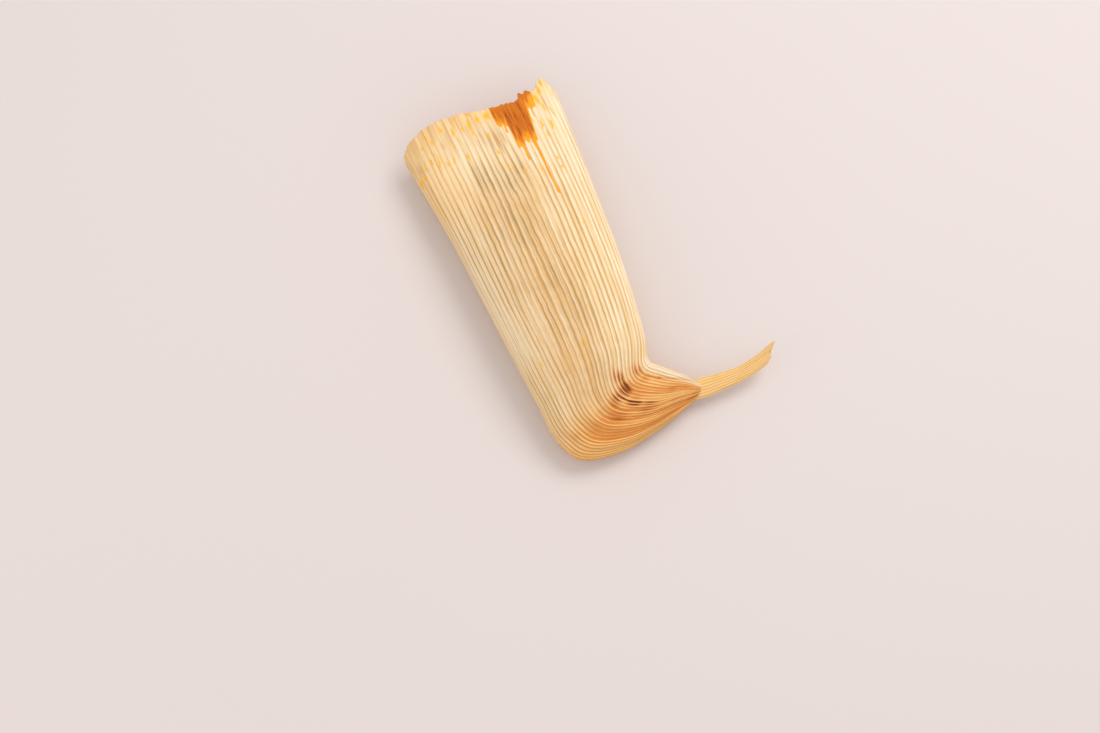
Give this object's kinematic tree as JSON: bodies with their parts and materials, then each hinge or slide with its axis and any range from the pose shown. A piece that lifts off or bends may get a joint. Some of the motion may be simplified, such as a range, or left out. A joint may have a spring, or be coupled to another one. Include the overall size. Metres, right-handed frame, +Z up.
{
  "type": "tamale",
  "caption": "Tamale in a ribbed corn husk, lying flat: open torn mouth with filling at one end, gathered and bent into a thin husk tail at the other.",
  "frame": {"origin": "on the resting surface, under the centre of the bounding box", "axes": "+Y along the tamale from the gathered end to the open mouth, +X to the side the tail points, +Z up through the shown front face"},
  "size_m": [0.1044, 0.147, 0.0279],
  "materials": {
    "husk": "dry ribbed corn husk, satin, with orange sauce stains",
    "masa": "moist crumbly corn dough with orange-brown sauce"
  },
  "bodies": {
    "root": {"husk": "husk", "masa": "masa"}
  },
  "joints": []
}
